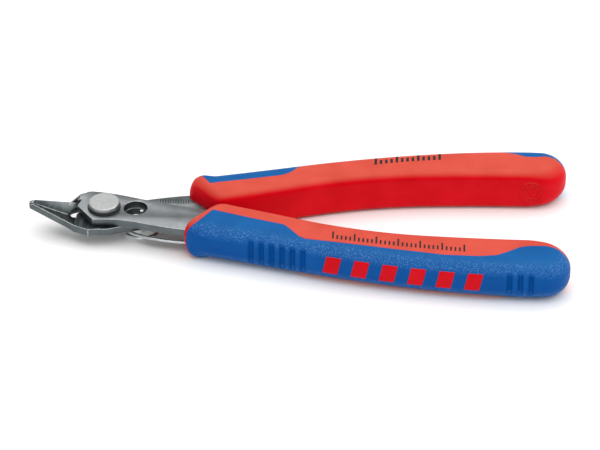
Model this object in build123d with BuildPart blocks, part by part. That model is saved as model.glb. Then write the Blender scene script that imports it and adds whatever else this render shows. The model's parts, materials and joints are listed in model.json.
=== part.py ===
"""Flush cutter for electronics work, 125 mm long, jaws closed.

Frame: +X runs from the jaws to the handles, +Y to the handle of the lower lever, +Z up.
The origin lies under the middle of the tool, on the surface that the grips lie on.
Plan coordinates below are counted from the pivot, heights from the plane between the levers.
"""
import os
from math import cos, radians, sin

from build123d import *

os.makedirs("parts", exist_ok=True)

# ---- driving dimensions, mm ----
total_length = 125.0
tip_reach = 17.5            # tip ahead of the pivot
grip_height = 10.0
pivot_x = tip_reach - total_length / 2
mid_z = grip_height / 2     # plane between the two levers

plate = 1.9                 # thickness of each lever
lap_gap = 0.03              # oil gap, each side of the plane between the levers
jaw_gap = 0.02              # each cutting edge from the centre plane, jaws closed
disc_radius = 6.2           # round head of the lower lever, inside the upper jaw's root
disc_clearance = 0.12

jaw_rise = 0.325                # slope of the jaws, bent up towards the tip
bend_x = -6.9                   # where the flat underside ends
jaw_thickness = 1.75
tip_thickness = 1.15
edge_heights = ((-17.7, 1.3, 0.4), (-6.5, 0.7, 4.3))    # x, cutting edge above the underside, width of the bevel
throat_radius = 0.45            # round relief in the lower jaw behind the cutting edges
throat_x = -7.4

hole_x = 7.3
hole_radius = 2.75

shank_radius = 2.1
shank_running_clearance = 0.04
rivet_head_radius = 3.65
rivet_head_height = 1.25
washer_radius = 3.85
washer_height = 0.4
rear_head_radius = 3.2
rear_head_height = 0.9
rear_washer_radius = 3.6
rear_washer_height = 0.3

wire_radius = 0.42
knee_radius = 0.99 * wire_radius        # round corners of the wire, a hair thinner than the wire
wire_z = -plate - wire_radius - 0.1     # the spring lies just under the lower lever
coil_centre = (8.9, -0.8)
coil_radius = 4.0
coil_turns = 1.25
coil_pitch = 1.0
coil_start = 236.0                      # direction in which the leg leaves the coil, degrees
leg_points = [(9.2, -5.35), (13.2, -6.55), (22.0, -7.6)]
post_x = 8.7                            # upturned end in the limiter hole
post_top = 1.2

skin = 1.3                  # soft outer skin of the grips
skin_start = (19.4, 8.3)    # front corner of the soft skin
edge_round = 2.0            # edges of the grips
front_round = 2.6           # upright corners at their front
grip_inner = [(101.4, 12.55), (75.0, 11.75), (45.0, 6.0), (26.3, 0.3)]     # from the rear end forwards
grip_outer = [(101.4, 24.75), (75.0, 22.9), (45.0, 16.9), (21.5, 11.0)]
grip_front = (18.7, 7.6)
parting = [(25.1, 3.6), (34.0, 7.0), (41.0, 9.2), (44.5, 13.0), (50.0, 15.2), (60.0, 17.2), (75.0, 19.5),
           (85.0, 20.3), (90.0, 20.0), (92.5, 18.8), (95.6, 16.7), (101.0, 15.9), (108.5, 17.5)]
groove_pitch = 2.4
groove_width = 1.1
groove_depth = 0.55
groove_height = 6.4
front_grooves = 6
rear_grooves = 3
front_groove_x = 33.0
rear_groove_x = 92.5
bar_count = 6
bar_pitch = 7.3
bar_first_x = 50.5
bar_height = 4.4
bar_width = 2.6
bar_slant = 0.9

level = Plane(origin=(pivot_x, 0, mid_z))
side = Plane(origin=(pivot_x, 0, mid_z), x_dir=(1, 0, 0), z_dir=(0, -1, 0))


def across(x):
    """Plane that cuts the tool crosswise, x ahead of (-) or behind (+) the pivot."""
    return Plane(origin=(pivot_x + x, 0, mid_z), x_dir=(0, 1, 0), z_dir=(1, 0, 0))


# ---- levers ----
# The upper lever's jaw is on +Y and its handle on -Y (hand = 1), the lower lever is its mirror image.

arm_outer = [(-3.3, 6.45), (3.1, 5.3), (10.4, 3.1), (22.5, 0.0), (30.0, -3.3)]
arm_inner = [(30.0, -7.6), (18.4, -8.2), (11.0, -6.6), (6.0, -5.3), (0.0, -4.9)]
tang_far = [(45.0, -9.6), (60.0, -13.1), (75.0, -15.6), (88.0, -16.6)]
tang_near = [(88.0, -20.2), (75.0, -19.0), (60.0, -16.6), (45.0, -13.0), (36.0, -9.9)]


def mirrored(points, hand):
    return [(x, hand * y) for x, y in points]


def arm_outline(hand, front):
    """Head and arm in plan; front is the list of points that closes the head."""
    Spline(*mirrored(arm_outer, hand))
    Polyline(*mirrored([arm_outer[-1]] + tang_far, hand))
    ThreePointArc(*mirrored([tang_far[-1], (90.0, -18.5), tang_near[0]], hand))
    Polyline(*mirrored(tang_near + [arm_inner[0]], hand))
    Spline(*mirrored(arm_inner, hand))
    Polyline(*mirrored([arm_inner[-1]] + front + [arm_outer[0]], hand))


def jaw_outline(hand):
    """Jaw in plan, from the tip back to behind the root."""
    Polyline(*mirrored([(0.0, jaw_gap), (-17.5, jaw_gap), (-17.35, 0.65), (-8.3, 4.05)], hand))
    Spline(*mirrored([(-8.3, 4.05), (-6.2, 5.15), arm_outer[0]], hand))
    Polyline(*mirrored([arm_outer[0], (0.0, 5.9), (0.0, jaw_gap)], hand))


def underside(x):
    """Height of a jaw's underside at x ahead of the bend."""
    return -plate + (bend_x - x) * jaw_rise


def jaw_side(root_top):
    """Side view of a jaw: a slab bent up to the tip, closed by root_top at the head."""
    Polyline((0.0, -plate), (bend_x, -plate), (-tip_reach, underside(-tip_reach)),
             (-tip_reach, underside(-tip_reach) + tip_thickness),
             (-16.4, underside(-16.4) + jaw_thickness), (-8.4, underside(-8.4) + jaw_thickness),
             *root_top, (0.0, -plate))


def jaw_bevel(hand):
    """Wedge that grinds the top of a jaw down to its cutting edge, as two section outlines."""
    sections = []
    for x, edge_height, width in edge_heights:
        low = underside(x)
        edge = (-0.2 * hand, low + edge_height)
        land = (hand * width, low + jaw_thickness + 0.2)
        sections.append((x, [edge, land, (hand * width, land[1] + 3), (-0.2 * hand, land[1] + 3)]))
    return sections


def jaw_grinding(hand, throat):
    """What is ground out of one jaw: the bevel over its edge and the throat, a closed plan outline."""
    with BuildPart() as grinding:
        for x, corners in jaw_bevel(hand):
            with BuildSketch(across(x)):
                with BuildLine():
                    Polyline(*corners, close=True)
                make_face()
        loft(ruled=True)
        with BuildSketch(level.offset(-plate - 1)):
            add(throat)
        extrude(amount=3 * plate)
    return grinding.part


with BuildSketch() as upper_throat:
    with BuildLine():
        Polyline((-8.5, -0.1), (-8.5, 0.1))
        Spline((-8.5, 0.1), (-7.9, 1.5), (-6.9, 2.7), (-5.2, 3.1))
        Polyline((-5.2, 3.1), (-5.2, -0.1), (-8.5, -0.1))
    make_face()

with BuildSketch() as lower_throat:
    with Locations((throat_x, 0)):
        Circle(throat_radius)

upper_grinding = jaw_grinding(1, upper_throat.sketch)
lower_grinding = jaw_grinding(-1, lower_throat.sketch)

with BuildPart() as upper_jaw:
    with BuildSketch(side):
        with BuildLine():
            jaw_side([(-6.0, plate), (0.0, plate)])
        make_face()
    extrude(amount=10, both=True)
    with BuildSketch(level.offset(-plate)):
        with BuildLine():
            jaw_outline(1)
        make_face()
    extrude(amount=4 * plate, mode=Mode.INTERSECT)
    with BuildSketch(level.offset(-plate - 1)):
        Circle(disc_radius + disc_clearance)
    extrude(amount=plate + 1 + lap_gap, mode=Mode.SUBTRACT)
    add(upper_grinding, mode=Mode.SUBTRACT)

with BuildPart() as upper_lever:
    with BuildSketch(level.offset(lap_gap)):
        with BuildLine():
            arm_outline(1, [(-2.3, -5.0), (-6.3, 0.4), (-4.6, 6.2)])
        make_face()
    extrude(amount=plate - lap_gap)
    add(upper_jaw.part)
    with BuildSketch(level.offset(-plate - 1)):
        Circle(shank_radius)
        with Locations((hole_x, 0)):
            Circle(hole_radius)
    extrude(amount=3 * plate, mode=Mode.SUBTRACT)

with BuildPart() as lower_jaw:
    with BuildSketch(side):
        with BuildLine():
            jaw_side([(-6.7, -lap_gap), (0.0, -lap_gap)])
        make_face()
    extrude(amount=10, both=True)
    with BuildSketch(level.offset(-plate)):
        with BuildLine():
            jaw_outline(-1)
        make_face()
    extrude(amount=4 * plate, mode=Mode.INTERSECT)
    with BuildSketch(level.offset(-lap_gap)):
        Circle(disc_radius + 0.75)
    extrude(amount=4 * plate, mode=Mode.SUBTRACT)
    add(lower_grinding, mode=Mode.SUBTRACT)

with BuildPart() as lower_lever:
    with BuildSketch(level.offset(-plate)):
        with BuildLine():
            arm_outline(-1, [(-2.6, -5.62), (-5.4, -3.05), (-6.2, 0.0), (-5.9, 5.0)])
        make_face()
        Circle(disc_radius)
    extrude(amount=plate - lap_gap)
    add(lower_jaw.part)
    with BuildSketch(level.offset(-plate - 1)):
        Circle(shank_radius + shank_running_clearance)
        with Locations((hole_x, 0)):
            Circle(hole_radius)
    extrude(amount=3 * plate, mode=Mode.SUBTRACT)


# ---- pivot ----
with BuildPart() as pivot_rivet:
    with BuildSketch(level.offset(-plate - rear_washer_height - rear_head_height)):
        Circle(shank_radius)
    extrude(amount=2 * plate + rear_washer_height + rear_head_height + washer_height)
    with BuildSketch(level.offset(plate + washer_height)):
        Circle(rivet_head_radius)
    extrude(amount=rivet_head_height)
    fillet(pivot_rivet.edges().group_by(Axis.Z)[-1], 0.3)

with BuildPart() as rivet_washer:
    with BuildSketch(level.offset(plate)):
        Circle(washer_radius)
        Circle(shank_radius, mode=Mode.SUBTRACT)
    extrude(amount=washer_height)

with BuildPart() as rear_washer:
    with BuildSketch(level.offset(-plate - lap_gap - rear_washer_height)):
        Circle(rear_washer_radius)
        Circle(shank_radius, mode=Mode.SUBTRACT)
    extrude(amount=rear_washer_height)

with BuildPart() as rivet_collar:
    with BuildSketch(level.offset(-plate - lap_gap - rear_washer_height - rear_head_height)):
        Circle(rear_head_radius)
        Circle(shank_radius, mode=Mode.SUBTRACT)
    extrude(amount=rear_head_height)
    chamfer(rivet_collar.edges().group_by(Axis.Z)[0].sort_by(SortBy.LENGTH)[-1], 0.35)

# ---- opening spring ----
# A leg runs from the near grip to the coil under the lower lever; the other end crosses the coil
# and turns up into the limiter hole, whose wall stops the tool from opening further.
def on_coil(angle):
    """Point of the coil in plan, in a direction given in degrees."""
    turn = radians(angle)
    return coil_centre[0] + coil_radius * cos(turn), coil_centre[1] + coil_radius * sin(turn)


coil_low = wire_z - coil_turns * coil_pitch
coil_end = coil_start - 360 * coil_turns


def rod(start, end):
    """Round wire with round ends between two points counted from the pivot."""
    a = Vector(start[0] + pivot_x, start[1], start[2] + mid_z)
    b = Vector(end[0] + pivot_x, end[1], end[2] + mid_z)
    with BuildPart() as wire:
        with BuildSketch(Plane(origin=a, z_dir=b - a)):
            Circle(wire_radius)
        extrude(amount=(b - a).length)
        with Locations(a, b):
            Sphere(knee_radius)
    return wire.part


spring_runs = [(*point, wire_z) for point in [on_coil(coil_start)] + leg_points]
spring_drop = [(*on_coil(coil_end), coil_low), (post_x, 0.0, coil_low), (post_x, 0.0, post_top)]
spring_rods = [rod(a, b) for a, b in zip(spring_runs, spring_runs[1:])]
spring_rods += [rod(a, b) for a, b in zip(spring_drop, spring_drop[1:])]

with BuildPart() as opening_spring:
    with BuildLine():
        coil = Helix(coil_pitch, coil_turns * coil_pitch, coil_radius, mode=Mode.PRIVATE)
        coil = coil.rotate(Axis.Z, coil_end)
        coil = coil.translate((pivot_x + coil_centre[0], coil_centre[1], mid_z + coil_low))
    with BuildSketch(Plane(origin=coil @ 0, z_dir=coil % 0)):
        Circle(wire_radius)
    sweep(path=coil, is_frenet=True)
    for run in spring_rods:
        add(run)

# ---- grips ----
grip_end = (total_length - tip_reach, (grip_inner[0][1] + grip_outer[0][1]) / 2)


def tangent_arcs(points, tangent):
    """Arcs through the points, each tangent to the one before."""
    for start, end in zip(points, points[1:]):
        arc = TangentArc(start, end, tangent=tangent)
        tangent = arc % 1


def grip_solid(inset):
    """Whole grip on the +Y side, shrunk by inset on every side."""
    inner = [(x, y + inset) for x, y in grip_inner[:-1]] + [(26.3 + 0.26 * inset, 0.3 + 1.13 * inset)]
    outer = [(x, y - inset) for x, y in grip_outer]
    front = (grip_front[0] + 0.95 * inset, grip_front[1] + 0.47 * inset)
    with BuildPart() as grip:
        with BuildSketch(level.offset(inset - grip_height / 2)):
            with BuildLine():
                tangent_arcs(inner, (-1, 0))
                tangent_arcs(outer + [front], (-1, 0))
                ThreePointArc(inner[0], (grip_end[0] - inset, grip_end[1]), outer[0])
                Line(front, inner[-1])
            make_face()
        extrude(amount=grip_height - 2 * inset)
        if inset == 0:
            uprights = grip.edges().filter_by(Axis.Z).sort_by(Axis.X)
            fillet([uprights[0], uprights[2]], front_round)
            rims = grip.faces().sort_by(Axis.Z)
            fillet(rims[0].edges() + rims[-1].edges(), edge_round)
    return grip.part


whole_grip = grip_solid(0)
groove_floor = grip_solid(groove_depth)
hard_inside = grip_solid(skin)

with BuildPart() as grooves:
    add(whole_grip)
    add(groove_floor, mode=Mode.SUBTRACT)
    with BuildSketch(level.offset(-0.3 - groove_height / 2)):
        for first_x, count in ((front_groove_x, front_grooves), (rear_groove_x, rear_grooves)):
            for i in range(count):
                with Locations((first_x + i * groove_pitch, 22.0)):
                    Rectangle(groove_width, 24.0)
    extrude(amount=groove_height, mode=Mode.INTERSECT)

with BuildPart() as bars:
    add(whole_grip)
    with BuildSketch(side.offset(-14)):
        for i in range(bar_count):
            foot = bar_first_x + i * bar_pitch
            with BuildLine():
                Polyline((foot, -bar_height / 2), (foot + bar_width, -bar_height / 2),
                         (foot + bar_width + bar_slant, bar_height / 2), (foot + bar_slant, bar_height / 2),
                         close=True)
            make_face()
    extrude(amount=-14, mode=Mode.INTERSECT)

with BuildPart() as soft_shape:
    add(whole_grip)
    with BuildSketch(level.offset(-grip_height)):
        with BuildLine():
            Polyline(skin_start, *parting)
            Polyline(parting[-1], (parting[-1][0], 30.0), (skin_start[0], 30.0), skin_start)
        make_face()
    extrude(amount=2 * grip_height, mode=Mode.INTERSECT)
    add(hard_inside, mode=Mode.SUBTRACT)
    add(bars.part, mode=Mode.SUBTRACT)

with BuildPart() as skin_shape:
    add(soft_shape.part)
    add(grooves.part, mode=Mode.SUBTRACT)

with BuildPart() as far_grip_soft:
    add(skin_shape.part)
    add(lower_lever.part, mode=Mode.SUBTRACT)

with BuildPart() as near_grip_soft:
    add(mirror(skin_shape.part, about=Plane.XZ, mode=Mode.PRIVATE))
    add(upper_lever.part, mode=Mode.SUBTRACT)
    add(opening_spring.part, mode=Mode.SUBTRACT)

with BuildPart() as core_shape:
    add(whole_grip)
    add(soft_shape.part, mode=Mode.SUBTRACT)

with BuildPart() as far_grip_core:
    add(core_shape.part)
    add(lower_lever.part, mode=Mode.SUBTRACT)

with BuildPart() as near_grip_core:
    add(mirror(core_shape.part, about=Plane.XZ, mode=Mode.PRIVATE))
    add(upper_lever.part, mode=Mode.SUBTRACT)
    add(opening_spring.part, mode=Mode.SUBTRACT)

pieces = {
    "upper_lever": upper_lever, "lower_lever": lower_lever, "pivot_rivet": pivot_rivet,
    "rivet_washer": rivet_washer, "rear_washer": rear_washer, "rivet_collar": rivet_collar,
    "opening_spring": opening_spring, "near_grip_core": near_grip_core, "near_grip_soft": near_grip_soft,
    "far_grip_core": far_grip_core, "far_grip_soft": far_grip_soft,
}
for name, piece in pieces.items():
    piece.part.label = name
    export_step(piece.part, f"parts/{name}.step")
    print(name, len(piece.part.solids()), round(piece.part.volume, 1))
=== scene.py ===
# %% [markdown]
# # A flush cutter for electronics work
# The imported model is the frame: two steel levers on a rivet, a wire spring and two moulded grips.
# This lesson keeps every place and size from it and adds what the frame leaves plain: ground and
# broken edges on the steel, a drawn wire, and grips with soft shoulders, ribs and a parting line.

import json
from math import cos, pi, radians, sin

import bmesh
import bpy
import numpy as np
from mathutils import Matrix, Vector


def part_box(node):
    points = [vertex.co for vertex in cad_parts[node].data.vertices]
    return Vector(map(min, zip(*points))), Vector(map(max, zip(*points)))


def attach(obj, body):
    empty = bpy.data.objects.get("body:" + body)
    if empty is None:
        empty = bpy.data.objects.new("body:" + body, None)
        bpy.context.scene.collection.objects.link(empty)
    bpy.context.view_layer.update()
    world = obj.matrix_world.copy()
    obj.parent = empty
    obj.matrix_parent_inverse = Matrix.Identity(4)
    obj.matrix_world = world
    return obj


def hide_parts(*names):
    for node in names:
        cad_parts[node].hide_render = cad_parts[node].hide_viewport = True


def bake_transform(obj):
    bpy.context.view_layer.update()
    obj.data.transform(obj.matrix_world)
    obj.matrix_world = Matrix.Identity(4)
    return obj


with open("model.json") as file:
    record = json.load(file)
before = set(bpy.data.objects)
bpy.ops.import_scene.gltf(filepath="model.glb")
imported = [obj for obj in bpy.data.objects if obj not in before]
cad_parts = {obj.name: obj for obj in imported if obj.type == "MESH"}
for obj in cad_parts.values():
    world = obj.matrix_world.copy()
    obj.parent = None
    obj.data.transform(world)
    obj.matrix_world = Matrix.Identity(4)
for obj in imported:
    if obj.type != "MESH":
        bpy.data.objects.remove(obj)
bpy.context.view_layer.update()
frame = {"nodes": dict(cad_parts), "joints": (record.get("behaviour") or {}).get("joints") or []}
mm = 0.001
pivot = np.array(frame["joints"][0]["pos_m"])
near_body = "upper_lever"      # body that holds the near grip
far_body = "lower_lever"       # body that holds the far grip

# %% [markdown]
# ## Camera and light
# The tool lies on its side and is seen from the side of the near grip, a third of the way up to
# straight above, through a long lens, so that the two grips look nearly the same size. Set first,
# the camera makes every later look at the pieces comparable.

# %% Camera
view_azimuth = radians(2.7)
view_elevation = radians(35.0)
view_distance = 0.706
view_lens = 183.3
view_roll = radians(-0.3)
view_target = Vector((pivot[0] + 45.6 * mm, -2.8 * mm, pivot[2]))

camera_data = bpy.data.cameras.new("camera")
camera_data.lens = view_lens
camera_data.sensor_width = 36.0
camera_data.clip_start = 0.01
camera = bpy.data.objects.new("camera", camera_data)
bpy.context.collection.objects.link(camera)
away = Vector((sin(view_azimuth) * cos(view_elevation),
               -cos(view_azimuth) * cos(view_elevation), sin(view_elevation)))
camera.location = view_target + away * view_distance
facing = away.to_track_quat("Z", "Y").to_matrix()
camera.rotation_euler = (facing @ Matrix.Rotation(view_roll, 3, "Z")).to_euler()
bpy.context.scene.camera = camera
print("camera at", [round(v, 3) for v in camera.location])


# %% Light and floor
def softbox(name, place, aim, size, power):
    """Rectangular area light at place, turned to aim."""
    data = bpy.data.lights.new(name, "AREA")
    data.shape = "RECTANGLE"
    data.size = size[0]
    data.size_y = size[1]
    data.energy = power
    lamp = bpy.data.objects.new(name, data)
    bpy.context.collection.objects.link(lamp)
    lamp.location = place
    lamp.rotation_euler = (Vector(place) - Vector(aim)).to_track_quat("Z", "Y").to_euler()
    return lamp


softbox("top_softbox", (0.05, 0.06, 0.5), (0, 0, 0), (1.0, 0.8), 4.2)
softbox("front_softbox", (-0.25, -0.6, 0.35), (0, 0, 0), (0.3, 0.25), 0.5)
softbox("side_softbox", (0.6, -0.1, 0.3), (0, 0, 0), (0.25, 0.25), 0.5)

world = bpy.data.worlds.new("studio")
world.use_nodes = True
world.node_tree.nodes["Background"].inputs["Color"].default_value = (1.0, 1.0, 1.0, 1.0)
world.node_tree.nodes["Background"].inputs["Strength"].default_value = 0.5
bpy.context.scene.world = world
bpy.context.scene.view_settings.view_transform = "Standard"

floor_mesh = bpy.data.meshes.new("floor")
half_floor = 2.0
floor_mesh.from_pydata([(x * half_floor, y * half_floor, 0) for x, y in ((-1, -1), (1, -1), (1, 1), (-1, 1))],
                       [], [(0, 1, 2, 3)])
floor = bpy.data.objects.new("floor", floor_mesh)
bpy.context.collection.objects.link(floor)

# %% [markdown]
# ## Finishes
# Each finish is a short function that returns a material. They all read Object coordinates, so a
# pattern has its real scale: a grain of 0.3 mm on the soft skin, fine polishing lines on the steel.
# Colours that are the same all over go straight on the shader; only variation comes through nodes.


# %% Material helpers
def new_material(name, color, roughness, metallic=0.0):
    """Material with a Principled shader; returns it with its tree and shader."""
    material = bpy.data.materials.new(name)
    material.use_nodes = True
    tree = material.node_tree
    shader = tree.nodes["Principled BSDF"]
    shader.inputs["Base Color"].default_value = (*color, 1.0)
    shader.inputs["Roughness"].default_value = roughness
    shader.inputs["Metallic"].default_value = metallic
    material.diffuse_color = (*color, 1.0)
    return material, tree, shader


def noise(tree, size, detail=3.0, stretch=(1, 1, 1)):
    """Noise over Object coordinates; size is the grain in metres, stretch makes it longer along an axis."""
    coordinates = tree.nodes.new("ShaderNodeTexCoord")
    mapping = tree.nodes.new("ShaderNodeMapping")
    mapping.inputs["Scale"].default_value = tuple(1 / (size * s) for s in stretch)
    tree.links.new(coordinates.outputs["Object"], mapping.inputs["Vector"])
    texture = tree.nodes.new("ShaderNodeTexNoise")
    texture.inputs["Scale"].default_value = 1.0
    texture.inputs["Detail"].default_value = detail
    tree.links.new(mapping.outputs["Vector"], texture.inputs["Vector"])
    return texture.outputs["Fac"]


def between(tree, value, low, high, out_low, out_high):
    """Map Range node from low..high to out_low..out_high."""
    node = tree.nodes.new("ShaderNodeMapRange")
    for key, number in (("From Min", low), ("From Max", high), ("To Min", out_low), ("To Max", out_high)):
        node.inputs[key].default_value = number
    tree.links.new(value, node.inputs["Value"])
    return node.outputs["Result"]


def vary_color(tree, shader, value, dark, light):
    """Base colour that runs from dark to light with value."""
    mix = tree.nodes.new("ShaderNodeMix")
    mix.data_type = "RGBA"
    mix.inputs["A"].default_value = (*dark, 1.0)
    mix.inputs["B"].default_value = (*light, 1.0)
    tree.links.new(value, mix.inputs["Factor"])
    tree.links.new(mix.outputs["Result"], shader.inputs["Base Color"])


def bump(tree, shader, value, height, distance=0.00002):
    """Relief of the surface, height from 0 to 1 of distance in metres."""
    node = tree.nodes.new("ShaderNodeBump")
    node.inputs["Strength"].default_value = height
    node.inputs["Distance"].default_value = distance
    tree.links.new(value, node.inputs["Height"])
    tree.links.new(node.outputs["Normal"], shader.inputs["Normal"])


def flatness(tree, low, high):
    """0 on upright faces, 1 on flat ones, turning between the two values of the normal's height."""
    coordinates = tree.nodes.new("ShaderNodeTexCoord")
    parts = tree.nodes.new("ShaderNodeSeparateXYZ")
    size = tree.nodes.new("ShaderNodeMath")
    size.operation = "ABSOLUTE"
    tree.links.new(coordinates.outputs["Normal"], parts.inputs[0])
    tree.links.new(parts.outputs["Z"], size.inputs[0])
    return between(tree, size.outputs[0], low, high, 0, 1)


def two_tones(tree, shader, factor, cloud, low_tones, high_tones):
    """Base colour between two pairs of tones; cloud varies within a pair, factor picks the pair."""
    pairs = []
    for dark, light in (low_tones, high_tones):
        mix = tree.nodes.new("ShaderNodeMix")
        mix.data_type = "RGBA"
        mix.inputs["A"].default_value = (*dark, 1.0)
        mix.inputs["B"].default_value = (*light, 1.0)
        tree.links.new(cloud, mix.inputs["Factor"])
        pairs.append(mix.outputs["Result"])
    blend = tree.nodes.new("ShaderNodeMix")
    blend.data_type = "RGBA"
    tree.links.new(factor, blend.inputs["Factor"])
    tree.links.new(pairs[0], blend.inputs["A"])
    tree.links.new(pairs[1], blend.inputs["B"])
    tree.links.new(blend.outputs["Result"], shader.inputs["Base Color"])


# %% Materials of this tool
def burnished_steel():
    """Blue-grey steel: the ground flat faces take paler tones as painted light from above, the punched sides
    darker tones as painted shade.
    """
    material, tree, shader = new_material("burnished_steel", (0.3, 0.31, 0.32), 0.42, 1.0)
    cloud = between(tree, noise(tree, 3 * mm), 0.3, 0.7, 0, 1)
    # flatness picks painted light for the flat faces and painted shade for the upright ones
    two_tones(tree, shader, flatness(tree, 0.75, 0.95), cloud,
              ((0.1, 0.117, 0.123), (0.15, 0.17, 0.176)), ((0.2, 0.214, 0.224), (0.26, 0.272, 0.282)))
    grain = noise(tree, 0.12 * mm, 2.0, (6, 1, 1))
    tree.links.new(between(tree, grain, 0.3, 0.7, 0.36, 0.5), shader.inputs["Roughness"])
    bump(tree, shader, grain, 0.3, 0.000012)
    return material


def painted_shade_steel():
    """Steel with painted shade: dark in the hollow between the jaws, painted lighter towards the far jaw's
    rim.
    """
    material, tree, shader = new_material("painted_shade_steel", (0.05, 0.055, 0.06), 0.4, 1.0)
    coordinates = tree.nodes.new("ShaderNodeTexCoord")
    parts = tree.nodes.new("ShaderNodeSeparateXYZ")
    tree.links.new(coordinates.outputs["Object"], parts.inputs[0])
    # painted shade: deepest near the middle, lighter across Y towards the far jaw's rim
    rim = between(tree, parts.outputs["Y"], 0.7 * mm, 3.0 * mm, 0, 1)
    cloud = between(tree, noise(tree, 1.2 * mm, 3.0, (1, 3, 3)), 0.35, 0.65, 0, 1)
    two_tones(tree, shader, rim, cloud, ((0.02, 0.026, 0.028), (0.05, 0.06, 0.062)),
              ((0.14, 0.157, 0.162), (0.19, 0.207, 0.21)))
    grain = noise(tree, 0.1 * mm, 2.0, (1, 6, 1))
    tree.links.new(between(tree, grain, 0.3, 0.7, 0.34, 0.5), shader.inputs["Roughness"])
    bump(tree, shader, grain, 0.3, 0.000012)
    return material


def worn_edge_and_highlight_steel():
    """Steel rubbed bright where an edge was broken or ground, and paler still as a painted highlight along
    the rims.
    """
    material, tree, shader = new_material("worn_edge_and_highlight_steel", (0.5, 0.52, 0.54), 0.3, 1.0)
    wear = noise(tree, 0.5 * mm)
    vary_color(tree, shader, between(tree, wear, 0.35, 0.65, 0, 1), (0.27, 0.285, 0.29), (0.42, 0.435, 0.44))
    return material


def turned_steel():
    """Satin stainless steel with turning rings round the pivot."""
    material, tree, shader = new_material("turned_steel", (0.5, 0.5, 0.5), 0.36, 1.0)
    coordinates = tree.nodes.new("ShaderNodeTexCoord")
    mapping = tree.nodes.new("ShaderNodeMapping")
    mapping.inputs["Location"].default_value = tuple(-pivot)
    wave = tree.nodes.new("ShaderNodeTexWave")
    wave.wave_type = "RINGS"
    wave.rings_direction = "Z"
    wave.inputs["Scale"].default_value = 900.0
    wave.inputs["Distortion"].default_value = 1.5
    wave.inputs["Detail"].default_value = 2.0
    tree.links.new(coordinates.outputs["Object"], mapping.inputs["Vector"])
    tree.links.new(mapping.outputs["Vector"], wave.inputs["Vector"])
    cloud = between(tree, noise(tree, 0.6 * mm), 0.3, 0.7, 0, 1)
    # flat faces get paler tones than the upright sides, as painted light from above
    two_tones(tree, shader, flatness(tree, 0.6, 0.95), cloud,
              ((0.3, 0.31, 0.31), (0.42, 0.43, 0.43)), ((0.37, 0.38, 0.38), (0.45, 0.46, 0.46)))
    tree.links.new(between(tree, wave.outputs["Fac"], 0, 1, 0.28, 0.4), shader.inputs["Roughness"])
    bump(tree, shader, wave.outputs["Fac"], 0.15, 0.00001)
    return material


def dark_steel():
    """Dark steel of the washers."""
    material, tree, shader = new_material("dark_steel", (0.05, 0.055, 0.06), 0.4, 1.0)
    tree.links.new(between(tree, noise(tree, 0.3 * mm), 0.3, 0.7, 0.34, 0.5), shader.inputs["Roughness"])
    return material


def drawn_wire():
    """Bright spring wire with a hint of drawing lines."""
    material, tree, shader = new_material("drawn_wire", (0.5, 0.52, 0.53), 0.24, 1.0)
    lines = noise(tree, 0.08 * mm, 2.0, (10, 3, 3))
    tree.links.new(between(tree, lines, 0.3, 0.7, 0.18, 0.34), shader.inputs["Roughness"])
    bump(tree, shader, lines, 0.1, 0.00001)
    return material


def moulded(name, side_tones, flat_tones, roughness, gloss, grain_size, relief, painted_sparkle_color=None):
    """Moulded plastic whose flat sides are painted paler than its upright ones, as painted light from above.
    """
    material, tree, shader = new_material(name, flat_tones[0], roughness)
    shader.inputs["Specular IOR Level"].default_value = gloss
    cloud = between(tree, noise(tree, 6 * mm), 0.3, 0.7, 0, 1)
    # painted light: the flat sides take the lit tones, the upright sides the shaded ones
    two_tones(tree, shader, flatness(tree, 0.45, 0.92), cloud, side_tones, flat_tones)
    grain = noise(tree, grain_size, 3.0)
    # painted highlight: grain spots on the rounded shoulder are painted paler as glints
    if painted_sparkle_color:
        painted_glint_share = tree.nodes.new("ShaderNodeMath")
        painted_glint_share.operation = "MULTIPLY"
        shoulder = tree.nodes.new("ShaderNodeMath")
        shoulder.operation = "MULTIPLY"
        tree.links.new(flatness(tree, 0.15, 0.5), shoulder.inputs[0])
        tree.links.new(flatness(tree, 0.995, 0.8), shoulder.inputs[1])
        tree.links.new(between(tree, grain, 0.5, 0.68, 0.08, 0.75), painted_glint_share.inputs[0])
        tree.links.new(shoulder.outputs[0], painted_glint_share.inputs[1])
        tone = shader.inputs["Base Color"].links[0].from_socket
        lighter = tree.nodes.new("ShaderNodeMix")
        lighter.data_type = "RGBA"
        lighter.inputs["B"].default_value = (*painted_sparkle_color, 1.0)
        tree.links.new(painted_glint_share.outputs[0], lighter.inputs["Factor"])
        tree.links.new(tone, lighter.inputs["A"])
        tree.links.new(lighter.outputs["Result"], shader.inputs["Base Color"])
    gloss_range = between(tree, grain, 0.3, 0.7, roughness - 0.07, roughness + 0.07)
    tree.links.new(gloss_range, shader.inputs["Roughness"])
    bump(tree, shader, grain, relief, 0.00005)
    return material


def hard_plastic():
    """Red core: deep red, nearly smooth, with a very fine mould grain; its flat sides are painted a paler
    orange red as painted sheen from the top light.
    """
    return moulded("red_hard_plastic", ((0.6, 0.0, 0.006), (0.68, 0.003, 0.012)),
                   ((0.53, 0.058, 0.036), (0.6, 0.075, 0.048)), 0.42, 0.08, 0.2 * mm, 0.12)


def soft_plastic():
    """Blue skin: soft, with a spark-eroded grain; paler dots painted on the grain of the shoulder stand in
    for glints, as painted highlights.
    """
    return moulded("blue_soft_plastic", ((0.0, 0.072, 0.3), (0.0, 0.088, 0.34)),
                   ((0.0, 0.08, 0.27), (0.003, 0.097, 0.31)), 0.44, 0.08, 0.3 * mm, 0.6, (0.1, 0.24, 0.5))


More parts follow.
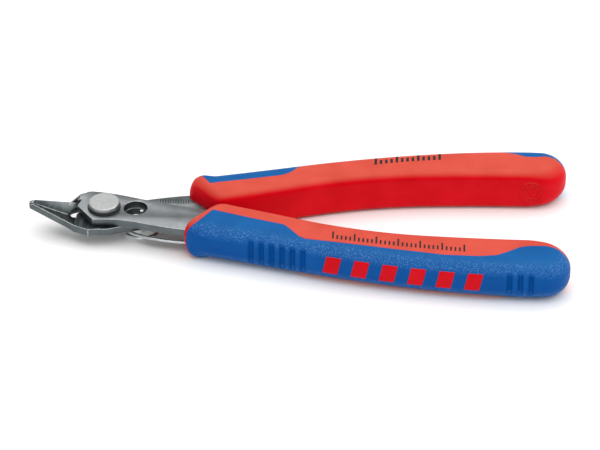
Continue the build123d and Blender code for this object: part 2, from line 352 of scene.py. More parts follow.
def print_ink():
    """Black pad-print ink with slightly uneven cover."""
    material, tree, shader = new_material("print_ink", (0.015, 0.015, 0.015), 0.5)
    shader.inputs["Specular IOR Level"].default_value = 0.1
    vary_color(tree, shader, between(tree, noise(tree, 0.15 * mm), 0.35, 0.65, 0, 1),
               (0.01, 0.01, 0.01), (0.035, 0.03, 0.03))
    return material


def floor_paper():
    """Pale studio paper."""
    material, tree, shader = new_material("floor_paper", (0.9, 0.9, 0.9), 0.8)
    vary_color(tree, shader, noise(tree, 20 * mm), (0.89, 0.89, 0.89), (0.92, 0.92, 0.92))
    return material


finishes = {make.__name__: make() for make in (
    burnished_steel, worn_edge_and_highlight_steel, painted_shade_steel, turned_steel, dark_steel, drawn_wire,
    hard_plastic, soft_plastic, print_ink, floor_paper)}
floor.data.materials.append(finishes["floor_paper"])
print("finishes", ", ".join(finishes))


# %% Mesh helpers
def link_mesh(name, mesh, *materials):
    """Object for a finished mesh whose place is in its vertices."""
    piece = bpy.data.objects.new(name, mesh)
    bpy.context.collection.objects.link(piece)
    for material in materials:
        mesh.materials.append(finishes[material])
    print(f"{name}: {len(mesh.polygons)} faces")
    return piece


def smooth(mesh, angle=None):
    """Smooth shading, sharp only where faces meet at more than the angle."""
    mesh.shade_smooth()
    if angle is not None:
        mesh.set_sharp_from_angle(angle=radians(angle))


# %% [markdown]
# ## The steel: broken edges
# The levers are stamped and ground plates. No real edge is perfectly sharp: tumbling and grinding
# leave a band about a tenth of a millimetre wide that catches the light. The frame's plates are loose
# triangles, so a copy is welded and its flat faces are joined, and a Bevel breaks the edges. The
# bevel's own faces take a brighter steel, partly rubbed bright by wear and partly a painted highlight,
# which gives the thin light lines along every rim.

# %% Levers with broken edges
upward = 0.15                  # least height of the normal of a face that counts as facing up
plate_front = 3.0              # distances ahead of the pivot, in millimetres
jaw_root = 8.4
step_height = 1.6              # below this, the upper lever's faces belong to its jaw


def gets_painted_shade(face, hand):
    """True for the upward faces that take painted shade: all the lower lever's (hand -1), the upper one's
    jaw.
    """
    centre = face.calc_center_median()
    ahead = (pivot[0] - centre.x) / mm
    height = (centre.z - pivot[2]) / mm
    jaw = (ahead > plate_front and height < step_height) or ahead > jaw_root
    return face.normal.z > upward and (hand < 0 or jaw)


def broken_edges(node, body, width, hand):
    """Copy of a lever with its edges broken by width, riding on body."""
    mesh = frame["nodes"][node].data.copy()
    mesh.materials.clear()
    work = bmesh.new()
    work.from_mesh(mesh)
    bmesh.ops.remove_doubles(work, verts=work.verts, dist=0.002 * mm)
    bmesh.ops.dissolve_limit(work, angle_limit=radians(1.0), verts=work.verts, edges=work.edges)
    work.normal_update()
    for face in work.faces:
        # upward faces in the hollow take the steel with painted shade (material index 2)
        face.material_index = 2 if gets_painted_shade(face, hand) else 0
        face.smooth = True
    work.to_mesh(mesh)
    work.free()
    piece = link_mesh(node + "_finished", mesh, "burnished_steel", "worn_edge_and_highlight_steel", "painted_shade_steel")
    edges = piece.modifiers.new("broken_edges", "BEVEL")
    edges.width = width
    edges.segments = 2
    edges.limit_method = "ANGLE"
    edges.angle_limit = radians(28)
    edges.material = 1
    edges.harden_normals = True
    edges.use_clamp_overlap = False
    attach(piece, body)
    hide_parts(node)
    return piece


edge_width = 0.12 * mm
broken_edges("upper_lever", near_body, edge_width, 1)
broken_edges("lower_lever", far_body, edge_width, -1)

# %% [markdown]
# ## The rivet and its washers
# Turned parts are described by half their section. Spinning that section round the pivot gives the
# solid; an extra ring of points just inside each rim keeps the flat faces flat when they are shaded
# smoothly, and the small quarter round of the head becomes the bright ring that the eye looks for.


# %% Rivet, collar and washers
shank_radius = 2.1 * mm
bore = 2.12 * mm               # hole of the washers and the collar
collar_rim = 0.2 * mm
washer_rim = 0.06 * mm
head_rim = 0.32 * mm           # quarter round of the rivet's head


def turned(node, profile, material, steps=96):
    """Solid of revolution round the pivot; profile lists (radius, height) in metres."""
    work = bmesh.new()
    rings = []
    for radius, height in profile:
        if radius < 1e-7:
            rings.append([work.verts.new((pivot[0], pivot[1], height))] * steps)
            continue
        turn = [2 * pi * k / steps for k in range(steps)]
        rings.append([work.verts.new((pivot[0] + radius * cos(t), pivot[1] + radius * sin(t), height))
                      for t in turn])
    closed = profile[0][0] > 1e-7
    pairs = list(zip(rings, rings[1:])) + ([(rings[-1], rings[0])] if closed else [])
    for low, high in pairs:
        for k in range(steps):
            corners = [low[k], low[(k + 1) % steps], high[(k + 1) % steps], high[k]]
            unique = list(dict.fromkeys(corners))
            face = work.faces.new(unique)
            face.smooth = True
    bmesh.ops.recalc_face_normals(work, faces=work.faces)
    mesh = bpy.data.meshes.new(node + "_turned")
    work.to_mesh(mesh)
    work.free()
    piece = link_mesh(node + "_turned", mesh, material)
    mesh.set_sharp_from_angle(angle=radians(50))
    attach(piece, near_body)
    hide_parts(node)
    return piece


def disc_profile(node, hole, rim):
    """Section of a washer or collar: its hole, its rims broken by rim."""
    low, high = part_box(node)
    outer = (high[0] - low[0]) / 2
    inset = 0.04 * mm
    return [(hole, low[2]), (outer - rim - inset, low[2]), (outer - rim, low[2]), (outer, low[2] + rim),
            (outer, high[2] - rim), (outer - rim, high[2]), (outer - rim - inset, high[2]), (hole, high[2])]


def rivet_profile():
    """Section of the rivet: shank, head and the quarter round of the head's rim."""
    low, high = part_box("pivot_rivet")
    shank, head = shank_radius, (high[0] - low[0]) / 2
    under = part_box("rivet_washer")[1][2]
    rim = head_rim
    inset = 0.05 * mm
    section = [(0.0, low[2]), (shank - 0.2 * mm, low[2]), (shank, low[2] + 0.2 * mm), (shank, under),
               (head - 0.12 * mm, under), (head, under + 0.12 * mm), (head, high[2] - rim - inset)]
    for k in range(7):
        turn = pi / 2 * k / 6
        section.append((head - rim + rim * cos(turn), high[2] - rim + rim * sin(turn)))
    return section + [(head - rim - inset, high[2]), (0.5 * head, high[2]), (0.0, high[2])]


turned("pivot_rivet", rivet_profile(), "turned_steel")
turned("rivet_collar", disc_profile("rivet_collar", bore, collar_rim), "turned_steel")
for node in ("rivet_washer", "rear_washer"):
    turned(node, disc_profile(node, bore, washer_rim), "dark_steel")

# %% [markdown]
# ## The grips
# Each grip is a hard red core with a soft blue skin over its outer side. Seen from above it follows
# two gentle curves, cut off at a slant in front and round at the back. A smooth surface is worked out
# as a grid: stations run along the grip, each from the inner to the outer curve, and the height
# falls off near the outline like a quarter round. One grid line follows the parting between the two
# plastics, so that the colours meet in a clean line, and the ribs are pressed into the outer side.

# %% Outline of a grip
grip_inner = [(101.4, 12.55), (75.0, 11.75), (45.0, 6.0), (26.3, 0.3)]
grip_outer = [(101.4, 24.75), (75.0, 22.9), (45.0, 16.9), (21.5, 11.0), (18.7, 7.6)]
corner_length = 2.2            # front corners are rounded over this length
half_height = 4.97
inner_round = 1.7
outer_round = 3.7
front_round = 1.5
end_round = 4.3
crown = 0.15                   # the flat sides are slightly domed
front_lean = (0.5, 1.5)        # the front face rolls back by the first, plus the second times the share
rim_width = 1.5                # red rim in front of the blue skin
broad_parting = [(15, 0.9), (27.5, 5.0), (32, 6.5), (36.7, 8.0), (42.3, 9.7), (44, 11.7), (45.7, 14.0),
                 (47.3, 14.9), (50.7, 15.5), (60, 17.1), (68.2, 18.5), (79, 20.2), (86.9, 20.45),
                 (90.75, 19.9), (92.6, 18.9), (96, 16.6), (97.8, 16.05), (101.6, 15.9), (104.3, 16.8),
                 (106.4, 17.9), (109, 18.6)]
narrow_parting = [(15, 3.6), (25.1, 6.6), (31.1, 8.0), (35.75, 9.1), (41.0, 10.4), (42.9, 11.7), (44, 13.2),
                  (44.9, 14.5), (46.5, 15.6), (50, 16.8), (60, 19.2), (75, 21.6), (88, 22.9), (92, 22.7),
                  (95.35, 21.3), (97.8, 20.2), (100, 20.1), (102.5, 20.5), (104.7, 19.9), (106.2, 19.2),
                  (109, 18.7)]


def tangent_arcs(points, heading, step=0.15):
    """Points along arcs through the given points, each arc tangent to the one before."""
    track = [np.array(points[0])]
    heading = np.array(heading, float)
    for start, end in zip(points, points[1:]):
        start, end = np.array(start), np.array(end)
        chord = end - start
        length = np.linalg.norm(chord)
        side = np.array((-heading[1], heading[0]))
        half_turn = np.arctan2(chord @ side, chord @ heading)
        count = max(int(length / step), 4)
        for t in np.linspace(0, 1, count + 1)[1:]:
            turn = half_turn * t
            reach = length * (np.sin(turn) / np.sin(half_turn) if abs(half_turn) > 1e-6 else t)
            track.append(start + reach * (np.cos(turn) * heading + np.sin(turn) * side))
        heading = np.cos(2 * half_turn) * heading + np.sin(2 * half_turn) * side
    return np.array(track)


def rounded_start(track, before):
    """Replaces the first corner_length of a track with a round from the line that comes from before."""
    lengths = np.cumsum(np.r_[0, np.linalg.norm(np.diff(track, axis=0), axis=1)])
    keep = int(np.searchsorted(lengths, corner_length))
    corner = track[0]
    towards = (before - corner) / np.linalg.norm(before - corner)
    first = corner + corner_length * towards
    t = np.linspace(0, 1, 13)[:-1, None]
    bend = (1 - t) ** 2 * first + 2 * t * (1 - t) * corner + t ** 2 * track[keep]
    return np.vstack([bend, track[keep:]])


inner_track = tangent_arcs(grip_inner, (-1, 0))[::-1]
outer_track = tangent_arcs(grip_outer, (-1, 0))[::-1]
inner_line = rounded_start(inner_track, outer_track[0])
outer_line = rounded_start(outer_track, inner_track[0])
end_centre = np.array((grip_inner[0][0], (grip_inner[0][1] + grip_outer[0][1]) / 2))
end_radius = (grip_outer[0][1] - grip_inner[0][1]) / 2
print("grip outline", inner_line[0].round(2), outer_line[0].round(2), "end radius", round(end_radius, 2))


# %% Grip grid
def resample(track, fractions):
    """Points at the given fractions of a track's length."""
    lengths = np.cumsum(np.r_[0, np.linalg.norm(np.diff(track, axis=0), axis=1)])
    where = np.asarray(fractions) * lengths[-1]
    return np.stack([np.interp(where, lengths, track[:, k]) for k in (0, 1)], axis=1)


def split_at(track, x):
    """Index of the first point of a track past x, behind its front corner."""
    lowest = int(np.argmin(track[:, 0]))
    return lowest + int(np.argmax(track[lowest:, 0] > x))


front_stations, middle_stations, end_stations = 64, 360, 44
cut_inner = split_at(inner_line, 33.0)
cut_outer = split_at(outer_line, 28.5)
ease = np.linspace(0, 1, front_stations, endpoint=False) ** 1.25
even = np.linspace(0, 1, middle_stations, endpoint=False)
quarter = np.linspace(0, pi / 2, end_stations)
end_arc = end_centre + end_radius * np.stack([np.sin(quarter), -np.cos(quarter)], axis=1)
inner_side = np.vstack([resample(inner_line[:cut_inner + 1], ease), resample(inner_line[cut_inner:], even),
                        end_arc])
end_arc_outer = end_arc * (1, -1) + (0, 2 * end_centre[1])
outer_side = np.vstack([resample(outer_line[:cut_outer + 1], ease), resample(outer_line[cut_outer:], even),
                        end_arc_outer])
stations = len(inner_side)
outline = np.vstack([inner_side, outer_side[::-1], inner_side[:1]])
front_corner = np.array(grip_inner[-1])
front_line = np.array(grip_outer[-1]) - front_corner
front_normal = np.array((front_line[1], -front_line[0])) / np.linalg.norm(front_line)
grip_axis = np.array((0.963, 0.27))


def ramp(value, low, high):
    """Smooth step from 0 at low to 1 at high."""
    t = np.clip((value - low) / (high - low), 0, 1)
    return t * t * (3 - 2 * t)


def behind_front(points):
    """Distance of plan points from the front face."""
    return (points - front_corner) @ front_normal


middle_line = (inner_side + outer_side) / 2
rim_station = int(np.argmax(behind_front(middle_line) > rim_width))
red_cells, blue_cells = 24, 30
columns = red_cells + blue_cells + 1


def parting_shares(parting):
    """Share of each station, from the inner to the outer side, at which it crosses the parting."""
    tries = np.linspace(0.06, 0.94, 400)
    px, py = np.array(parting).T
    found = []
    for inner, outer in zip(inner_side, outer_side):
        points = inner + tries[:, None] * (outer - inner)
        above = points[:, 1] > np.interp(points[:, 0], px, py)
        found.append(tries[np.argmax(above)] if above.any() else tries[-1])
    kernel = np.hanning(9) / np.hanning(9).sum()
    return np.convolve(np.pad(found, 4, mode="edge"), kernel, mode="valid")


def edge_distance(points):
    """Distance of each plan point to the grip's outline."""
    starts, ends = outline[:-1], outline[1:]
    along = ends - starts
    square = np.maximum((along ** 2).sum(axis=1), 1e-12)
    nearest = np.full(len(points), 1e9)
    for chunk in range(0, len(points), 2000):
        part = points[chunk:chunk + 2000, None, :] - starts[None]
        t = np.clip((part * along).sum(axis=2) / square, 0, 1)
        gap = np.linalg.norm(part - t[:, :, None] * along, axis=2)
        nearest[chunk:chunk + 2000] = gap.min(axis=1)
    return nearest


def grip_face_grid(parting):
    """Plan points, heights and shares of one flat side of the grip."""
    seam = parting_shares(parting)[:, None]
    red_steps = (1 - np.cos(pi * np.linspace(0, 1, red_cells + 1))) / 2
    blue_steps = (1 - np.cos(pi * np.linspace(0, 1, blue_cells + 1))) / 2
    share = np.empty((stations, columns))
    share[:, :red_cells + 1] = seam * red_steps
    share[:, red_cells:] = seam + (1 - seam) * blue_steps
    plan = inner_side[:, None, :] + share[:, :, None] * (outer_side - inner_side)[:, None, :]
    distance = edge_distance(plan.reshape(-1, 2)).reshape(stations, columns)
    distance[:, [0, -1]] = 0
    distance[[0, -1], :] = 0
    rounding = inner_round + (outer_round - inner_round) * ramp(share, 0.3, 0.8)
    near_front = 1 - ramp(behind_front(plan), 1.5, 6.0)
    rounding += (front_round - rounding) * near_front
    near_end = ramp(plan[:, :, 0], 97.5, 106.5)
    rounding += (end_round - rounding) * near_end
    drop = rounding - np.sqrt(np.maximum(rounding ** 2 - np.maximum(rounding - distance, 0) ** 2, 0))
    height = half_height - crown * np.abs(2 * share - 1) ** 2.5 * (1 - near_end) - drop
    return plan, height, share


broad_side = grip_face_grid(broad_parting)
narrow_side = grip_face_grid(narrow_parting)
print("grip grid", broad_side[0].shape, "height", broad_side[1].min().round(2), broad_side[1].max().round(2))

# %% [markdown]
# ## Pressing in the ribs and closing the surface
# One moulding serves for both grips: turned over, the near grip's top is the far grip's underside. So
# one flat side has the broad blue field and the other the narrow one, and short upright walls join
# them. The ribs are grooves across the outer side. Their depth fades in and out along the grip and
# towards the top and bottom, as in a mould cut with a round tool, so no face stands on edge.

# %% Ribs
groove_pitch = 2.4
groove_depth = 0.95
groove_half = 0.95
groove_rows = ((34.8, 6, 3.3), (93.6, 3, 3.0))       # first groove, how many, half its height


def groove(x, z):
    """Depth of the ribs at distance x behind the pivot and height z."""
    depth = np.zeros_like(x)
    for first, count, reach in groove_rows:
        for i in range(count):
            across = np.abs(x - first - i * groove_pitch)
            bowl = 0.5 + 0.5 * np.cos(pi * np.minimum(across / groove_half, 1.0))
            depth = np.maximum(depth, bowl * (1 - ramp(np.abs(z), reach - 1.2, reach)))
    return groove_depth * depth


wall_rows = 16
wall_steps = -np.cos(pi * np.linspace(0, 1, wall_rows + 1))


def grip_points():
    """Points of the closed grip on +Y with the broad side up, with lookup tables."""
    points, names = [], {}

    def put(key, point):
        names[key] = len(points)
        points.append(point)

    (top, top_height, top_share), (low, low_height, low_share) = broad_side, narrow_side
    for i in range(stations):
        for j in range(columns):
            put(("top", i, j), (*top[i, j], top_height[i, j], top_share[i, j]))
            put(("low", i, j), (*low[i, j], -low_height[i, j], low_share[i, j]))
    border = ([(i, 0) for i in range(stations - 1, 0, -1)] + [(0, j) for j in range(columns)]
              + [(i, columns - 1) for i in range(1, stations)])
    for i, j in border:
        ends = np.array(points[names[("low", i, j)]]), np.array(points[names[("top", i, j)]])
        for k in range(1, wall_rows):
            part = (1 + wall_steps[k]) / 2
            put(("wall", i, j, k), tuple(ends[0] + part * (ends[1] - ends[0])))
    return np.array(points), names, border


grip_cloud, grip_names, grip_border = grip_points()
cloud_share = grip_cloud[:, 3].copy()
grip_cloud = grip_cloud[:, :3]
outer_direction = np.array((-0.22, 0.975))     # across the grip, outwards
outer_gap = np.interp(grip_cloud[:, 0], outer_side[8:, 0], outer_side[8:, 1]) - grip_cloud[:, 1]
near_outer = (1 - ramp(outer_gap, 2.2, 3.6)) * (grip_cloud[:, 0] > 30)
press = groove(grip_cloud[:, 0], grip_cloud[:, 2]) * near_outer
grip_cloud[:, :2] -= press[:, None] * outer_direction
lean = (front_lean[0] + front_lean[1] * cloud_share) * (np.abs(grip_cloud[:, 2]) / half_height) ** 2.6
lean *= (1 - ramp(behind_front(grip_cloud[:, :2]), 0.0, 11.0)) / (grip_axis @ front_normal)
grip_cloud[:, :2] += lean[:, None] * grip_axis
print("grip points", len(grip_cloud), "deepest rib", press.max().round(2), "lean", lean.max().round(2))


# %% [markdown]
# ## Core and skin
# The closed surface is one set of faces, red or blue. The hard core is the whole surface with its
# blue part pushed in by the thickness of the skin; the soft skin is the blue part alone, given that
# thickness. Along the parting both are drawn in a little, which leaves the fine line that a real
# two-shot moulding shows.

# %% Core and skin of each grip
skin_depth = 0.9
skin_thickness = 0.84
parting_dip = 0.05


def grip_faces():
    """Faces of the closed grip as point indices, each with True for blue."""
    faces = []

    def corner(i, j, k):
        if k == 0:
            return grip_names[("low", i, j)]
        if k == wall_rows:
            return grip_names[("top", i, j)]
        return grip_names[("wall", i, j, k)]

    for i in range(stations - 1):
        for j in range(columns - 1):
            blue = i >= rim_station and j >= red_cells
            square = [(i, j), (i + 1, j), (i + 1, j + 1), (i, j + 1)]
            faces.append(([grip_names[("top", *p)] for p in square], blue))
            faces.append(([grip_names[("low", *p)] for p in reversed(square)], blue))
    for (i, j), (m, n) in zip(grip_border, grip_border[1:]):
        blue = j == columns - 1 and min(i, m) >= rim_station
        for k in range(wall_rows):
            faces.append(([corner(i, j, k), corner(m, n, k), corner(m, n, k + 1), corner(i, j, k + 1)], blue))
    return faces


grip_face_list = grip_faces()


def whole_grip(hand):
    """bmesh of a closed grip on the side hand (1 or -1); blue faces have material index 1."""
    work = bmesh.new()
    place = grip_cloud * (1, hand, -hand) * mm + (pivot[0], 0, pivot[2])
    dots = [work.verts.new(p) for p in place]
    for corners, blue in grip_face_list:
        face = work.faces.new([dots[c] for c in corners])
        face.material_index = int(blue)
        face.smooth = True
    bmesh.ops.remove_doubles(work, verts=work.verts, dist=0.001 * mm)
    bmesh.ops.dissolve_degenerate(work, edges=work.edges, dist=0.0005 * mm)
    bmesh.ops.recalc_face_normals(work, faces=work.faces)
    work.normal_update()
    seam = {v for e in work.edges if len({f.material_index for f in e.link_faces}) == 2 for v in e.verts}
    beside = {e.other_vert(v) for v in seam for e in v.link_edges} - seam
    moves = [(v, v.normal * parting_dip * mm * (1.0 if v in seam else 0.35)) for v in seam | beside]
    for v, move in moves:
        v.co -= move
    return work


def finish_bmesh(work, name, *materials):
    """Turns a bmesh into a linked object."""
    mesh = bpy.data.meshes.new(name)
    work.to_mesh(mesh)
    work.free()
    return link_mesh(name, mesh, *materials)


def make_grip(side, hand, body):
    """Hard core and soft skin of one grip."""
    work = whole_grip(hand)
    blue = [f for f in work.faces if f.material_index == 1]
    skin = work.copy()
    pushed = bmesh.ops.extrude_face_region(work, geom=blue)["geom"]
    moved = [v for v in pushed if isinstance(v, bmesh.types.BMVert)]
    work.normal_update()
    for v in moved:
        v.co -= v.normal * skin_depth * mm
    bmesh.ops.delete(work, geom=[f for f in blue if f.is_valid], context="FACES")
    bmesh.ops.recalc_face_normals(work, faces=work.faces)
    for face in work.faces:
        face.material_index = 0
    core = finish_bmesh(work, f"{side}_grip_hard_core", "hard_plastic")
    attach(core, body)
    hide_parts(f"{side}_grip_core")

    bmesh.ops.delete(skin, geom=[f for f in skin.faces if f.material_index == 0], context="FACES")
    for face in skin.faces:
        face.material_index = 0
    cover = finish_bmesh(skin, f"{side}_grip_soft_skin", "soft_plastic")
    wall = cover.modifiers.new("skin", "SOLIDIFY")
    wall.thickness = skin_thickness * mm
    wall.offset = -1.0
    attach(cover, body)
    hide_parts(f"{side}_grip_soft")
    return core, cover


near_core, near_skin = make_grip("near", -1, near_body)
far_core, far_skin = make_grip("far", 1, far_body)

# %% [markdown]
# ## Geometry Nodes for what repeats or follows a path
# Four small trees: the wire swept along its path, the row of red bars wrapped round the side of the
# grip, the printed scale, and the moulded date ring. Each takes its sizes as named inputs, ends in
# Realize Instances and Set Material, and is turned into a plain mesh at once.


# %% Geometry Nodes helpers
class Tree:
    """A Geometry Nodes tree that is written from top to bottom."""

    def __init__(self, name, **inputs):
        self.tree = bpy.data.node_groups.new(name, "GeometryNodeTree")
        self.tree.interface.new_socket("Geometry", in_out="INPUT", socket_type="NodeSocketGeometry")
        self.sockets = {}
        for key, number in inputs.items():
            kind = {int: "NodeSocketInt", tuple: "NodeSocketVector"}.get(type(number), "NodeSocketFloat")
            socket = self.tree.interface.new_socket(key, in_out="INPUT", socket_type=kind)
            socket.default_value = number
            self.sockets[key] = socket.identifier
        self.tree.interface.new_socket("Geometry", in_out="OUTPUT", socket_type="NodeSocketGeometry")
        self.input = self.tree.nodes.new("NodeGroupInput")

    def __getitem__(self, key):
        return self.input.outputs[key]

    def add(self, kind, settings=None, **links):
        """New node; links name its inputs (spaces as _) and give a value or an output socket."""
        node = self.tree.nodes.new(kind)
        for key, value in (settings or {}).items():
            setattr(node, key, value)
        for key, value in links.items():
            numbered = key[0] == "n" and key[1:].isdigit()
            slot = node.inputs[int(key[1:])] if numbered else node.inputs[key.replace("_", " ")]
            if isinstance(value, bpy.types.NodeSocket):
                self.tree.links.new(value, slot)
            else:
                slot.default_value = value
        return node

    def math(self, operation, a, b=0.0):
        """One Math node."""
        return self.add("ShaderNodeMath", {"operation": operation}, n0=a, n1=b).outputs[0]

    def vector(self, operation, a, b):
        """One Vector Math node."""
        return self.add("ShaderNodeVectorMath", {"operation": operation}, n0=a, n1=b).outputs[0]

    def close(self, geometry, material):
        """Realize Instances, Set Material and the group's output."""
        real = self.add("GeometryNodeRealizeInstances", Geometry=geometry)
        painted = self.add("GeometryNodeSetMaterial", Geometry=real.outputs[0], Material=finishes[material])
        output = self.tree.nodes.new("NodeGroupOutput")
        self.tree.links.new(painted.outputs[0], output.inputs[0])

    def build(self, name, source, body, slot=None, **values):
        """Plain mesh object made by the tree from the source object."""
        modifier = source.modifiers.new("tree", "NODES")
        modifier.node_group = self.tree
        for key, value in values.items():
            modifier[self.sockets[key]] = value
        bpy.context.view_layer.update()
        shown = source.evaluated_get(bpy.context.evaluated_depsgraph_get())
        mesh = bpy.data.meshes.new_from_object(shown)
        source.modifiers.remove(modifier)
        bpy.data.objects.remove(source)
        mesh.name = name
        piece = bpy.data.objects.new(name, mesh)
        bpy.context.collection.objects.link(piece)
        smooth(mesh, 35)
        if body:
            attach(piece, body)
        print(f"{name}: {len(mesh.polygons)} faces")
        return piece


def path_object(name, points, order=4):
    """NURBS curve through a list of points in millimetres, counted from the pivot."""
    data = bpy.data.curves.new(name, "CURVE")
    data.dimensions = "3D"
    spline = data.splines.new("NURBS")
    spline.points.add(len(points) - 1)
    for dot, (x, y, z) in zip(spline.points, points):
        dot.co = (pivot[0] + x * mm, y * mm, pivot[2] + z * mm, 1.0)
    spline.order_u = order
    spline.use_endpoint_u = True
    curve = bpy.data.objects.new(name, data)
    bpy.context.collection.objects.link(curve)
    return curve


# %% [markdown]
# ## The opening spring
# One piece of hard-drawn wire: a leg that reaches into the near grip, a coil and a quarter under the
# lower lever, and an end that crosses the coil and turns up into the round hole. The wire is a path
# with a round section, so a curve swept in Geometry Nodes is the shortest true description of it.

# %% Opening spring
wire_radius = 0.42
wire_height = -2.42
coil_centre = np.array((8.9, -0.8))
coil_radius = 4.0
coil_pitch = 1.0
coil_turns = 1.25
coil_start = 236.0
post_place = (8.7, 0.0)
post_top = 1.15

spring_path = [(22.0, -7.6, wire_height), (17.0, -7.3, wire_height), (13.2, -6.6, wire_height),
               (9.6, -5.6, wire_height)]
coil_steps = 30
for step in range(coil_steps + 1):
    part_of_coil = step / coil_steps
    angle = radians(coil_start - 360 * coil_turns * part_of_coil)
    x, y = coil_centre + coil_radius * 1.01 * np.array((cos(angle), sin(angle)))
    spring_path.append((x, y, wire_height - coil_pitch * coil_turns * part_of_coil))
coil_low = spring_path[-1][2]
spring_path += [(7.4, 1.9, coil_low), (8.6, 1.0, coil_low), (*post_place, coil_low),
                (*post_place, coil_low + 0.5),
                (*post_place, coil_low + 1.4), (*post_place, 0.0), (*post_place, post_top)]

wire = Tree("swept_wire", radius=wire_radius * mm, step=0.25 * mm)
even_path = wire.add("GeometryNodeResampleCurve", {"mode": "LENGTH"}, Curve=wire["Geometry"],
                     Length=wire["step"])
section = wire.add("GeometryNodeCurvePrimitiveCircle", Resolution=20, Radius=wire["radius"])
swept = wire.add("GeometryNodeCurveToMesh", Curve=even_path.outputs[0], Profile_Curve=section.outputs[0],
                 Fill_Caps=True)
wire.close(swept.outputs[0], "drawn_wire")
spring = wire.build("opening_spring_wire", path_object("spring_path", spring_path), None, "spring_wire")
tip_edge = spring.modifiers.new("cut_ends", "BEVEL")
tip_edge.width = 0.08 * mm
tip_edge.segments = 2
tip_edge.angle_limit = radians(50)
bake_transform(spring)
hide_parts("opening_spring")

# %% [markdown]
# ## Bars, scales and the date ring
# What is printed or moulded on a curved surface is modelled flat and then laid on it. The tree makes
# the flat item with its small thickness, and a Raycast node carries each of its points to the surface
# behind it, so that a mark follows the curve of the grip exactly and stands proud by a few hundredths.


# %% Laying an item on a surface
def lay_on(tree, geometry, target, towards):
    """Moves geometry along the unit vector towards until it rests on target; keeps its thickness."""
    surface = tree.add("GeometryNodeObjectInfo", {"transform_space": "RELATIVE"}, Object=target)
    position = tree.add("GeometryNodeInputPosition").outputs[0]
    product = tree.add("ShaderNodeVectorMath", {"operation": "DOT_PRODUCT"}, n0=position, n1=towards)
    depth = product.outputs["Value"]
    along = tree.add("ShaderNodeVectorMath", {"operation": "SCALE"}, n0=towards, Scale=depth).outputs[0]
    flat = tree.vector("SUBTRACT", position, along)
    source = tree.vector("SUBTRACT", flat, tuple(0.08 * t for t in towards))
    ray = tree.add("GeometryNodeRaycast", Target_Geometry=surface.outputs["Geometry"], Source_Position=source,
                   Ray_Direction=towards, Ray_Length=0.2)
    rested = tree.vector("ADD", ray.outputs["Hit Position"], along)
    return tree.add("GeometryNodeSetPosition", Geometry=geometry, Position=rested).outputs[0]


def start_object(name):
    """Empty mesh object that a tree can be put on."""
    holder = bpy.data.objects.new(name, bpy.data.meshes.new(name))
    bpy.context.collection.objects.link(holder)
    return holder


# %% Red bars on the outer sides
bar_count = 6
bar_pitch = 6.42 * mm
bar_first = pivot[0] + 53.5 * mm
bar_size = (3.4 * mm, 0.16 * mm, 4.4 * mm)
bar_slant = 0.9 / 4.4


def red_bars(side, hand, body, target):
    """Row of slanted red bars on the outer side of one grip."""
    tree = Tree(side + "_bars", count=bar_count, pitch=bar_pitch, first=float(bar_first),
                height=float(pivot[2] + 0.2 * mm), size=bar_size, slant=bar_slant)
    bar = tree.add("GeometryNodeMeshCube", Size=tree["size"], Vertices_X=8, Vertices_Y=2, Vertices_Z=10)
    place = tree.add("GeometryNodeInputPosition").outputs[0]
    parts = tree.add("ShaderNodeSeparateXYZ", n0=place)
    shift = tree.math("MULTIPLY", parts.outputs[2], tree["slant"])
    offset = tree.add("ShaderNodeCombineXYZ", n0=shift)
    slanted = tree.add("GeometryNodeSetPosition", Geometry=bar.outputs[0], Offset=offset.outputs[0])
    start = tree.add("ShaderNodeCombineXYZ", n0=tree["first"], n2=tree["height"])
    step = tree.add("ShaderNodeCombineXYZ", n0=tree["pitch"])
    row = tree.add("GeometryNodeMeshLine", Count=tree["count"], Start_Location=start.outputs[0],
                   Offset=step.outputs[0])
    copies = tree.add("GeometryNodeInstanceOnPoints", Points=row.outputs[0], Instance=slanted.outputs[0])
    real = tree.add("GeometryNodeRealizeInstances", Geometry=copies.outputs[0])
    tree.close(lay_on(tree, real.outputs[0], target, (0.0, float(-hand), 0.0)), "hard_plastic")
    return tree.build(side + "_grip_bars", start_object(side + "_bars"), body, "grip_hard")


red_bars("near", -1, near_body, near_skin)
red_bars("far", 1, far_body, far_skin)


# %% Printed scales
def printed_scale(name, path, count, long_every, mark, body, target, finish="print_ink",
                  slot="grip_hard"):
    """Ticks along a path on a flat side; every so many is longer."""
    tree = Tree(name, count=count, long_every=long_every, width=mark[0], length=mark[1], thickness=0.06 * mm)
    row = tree.add("GeometryNodeCurveToPoints", {"mode": "COUNT"}, Curve=tree["Geometry"],
                   Count=tree["count"])
    size = tree.add("ShaderNodeCombineXYZ", n0=tree["width"], n1=tree["length"], n2=tree["thickness"])
    tick = tree.add("GeometryNodeMeshCube", Size=size.outputs[0], Vertices_X=2, Vertices_Y=8, Vertices_Z=2)
    half = tree.math("MULTIPLY", tree["length"], 0.5)
    up = tree.add("ShaderNodeCombineXYZ", n1=half)
    based = tree.add("GeometryNodeSetPosition", Geometry=tick.outputs[0], Offset=up.outputs[0])
    index = tree.add("GeometryNodeInputIndex").outputs[0]
    rest = tree.math("MODULO", index, tree["long_every"])
    short = tree.math("GREATER_THAN", rest, 0.5)
    reach = tree.math("SUBTRACT", 1.0, tree.math("MULTIPLY", short, 0.45))
    stretch = tree.add("ShaderNodeCombineXYZ", n0=1.0, n1=reach, n2=1.0)
    copies = tree.add("GeometryNodeInstanceOnPoints", Points=row.outputs["Points"], Instance=based.outputs[0],
                      Scale=stretch.outputs[0])
    real = tree.add("GeometryNodeRealizeInstances", Geometry=copies.outputs[0])
    tree.close(lay_on(tree, real.outputs[0], target, (0.0, 0.0, -1.0)), finish)
    return tree.build(name, path, body, slot)


def flat_path(name, points):
    """Path at height 0 of the frame, given in millimetres from the pivot."""
    return path_object(name, [(x, y, -pivot[2] / mm) for x, y in points], order=3)


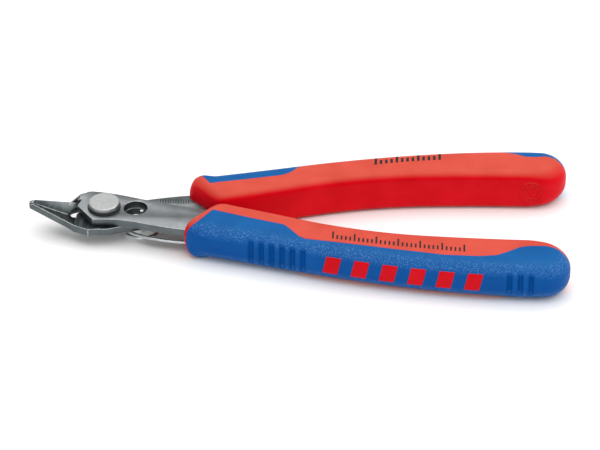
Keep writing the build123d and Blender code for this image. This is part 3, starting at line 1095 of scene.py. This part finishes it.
printed_scale("near_grip_scale", flat_path("near_scale_path", [(53.6, -14.9), (68.0, -17.5), (83.4, -18.9)]),
              31, 5, (0.4 * mm, 2.7 * mm), near_body, near_core)
printed_scale("far_grip_scale", flat_path("far_scale_path", [(62.6, 15.5), (70.0, 17.3), (77.6, 18.1)]),
              13, 4, (0.6 * mm, 3.0 * mm), far_body, far_core)
printed_scale("lever_hatch", flat_path("hatch_path", [(12.6, 4.9), (16.0, 4.9), (19.2, 4.8)]),
              12, 1, (0.25 * mm, 1.7 * mm), far_body, bpy.data.objects["lower_lever_finished"], "dark_steel",
              "lever_steel")


# %% Date ring on the inner side of the far grip
def date_ring(name, centre, body, target):
    """Two fine rings with twelve dots between them and a pointer, as on a mould's date insert."""
    tree = Tree(name, outer=2.75 * mm, inner=1.65 * mm, dots=12, wire=0.14 * mm, dot=0.24 * mm,
                centre=tuple(float(c) for c in centre))
    section = tree.add("GeometryNodeCurvePrimitiveCircle", Resolution=8, Radius=tree["wire"])
    together = tree.add("GeometryNodeJoinGeometry")
    for key in ("outer", "inner"):
        ring = tree.add("GeometryNodeCurvePrimitiveCircle", Resolution=64, Radius=tree[key])
        swept = tree.add("GeometryNodeCurveToMesh", Curve=ring.outputs[0], Profile_Curve=section.outputs[0])
        tree.tree.links.new(swept.outputs[0], together.inputs[0])
    middle = tree.math("MULTIPLY", tree.math("ADD", tree["outer"], tree["inner"]), 0.5)
    spots = tree.add("GeometryNodeMeshCircle", Vertices=tree["dots"], Radius=middle)
    dot = tree.add("GeometryNodeMeshUVSphere", Segments=10, Rings=6, Radius=tree["dot"])
    dots = tree.add("GeometryNodeInstanceOnPoints", Points=spots.outputs[0], Instance=dot.outputs[0])
    tree.tree.links.new(tree.add("GeometryNodeRealizeInstances", Geometry=dots.outputs[0]).outputs[0],
                        together.inputs[0])
    pointer = tree.add("GeometryNodeMeshCube", Size=(0.3 * mm, 2.2 * mm, 0.2 * mm),
                       Vertices_X=2, Vertices_Y=6, Vertices_Z=2)
    tree.tree.links.new(pointer.outputs[0], together.inputs[0])
    stood = tree.add("GeometryNodeTransform", Geometry=together.outputs[0], Translation=tree["centre"],
                     Rotation=(pi / 2, 0.0, 0.0))
    tree.close(lay_on(tree, stood.outputs[0], target, (0.0, 1.0, 0.0)), "hard_plastic")
    return tree.build(name, start_object(name), body, "grip_hard")


date_ring("far_grip_date_ring", (pivot[0] + 99.2 * mm, 0.0, pivot[2] - 0.1 * mm), far_body, far_core)
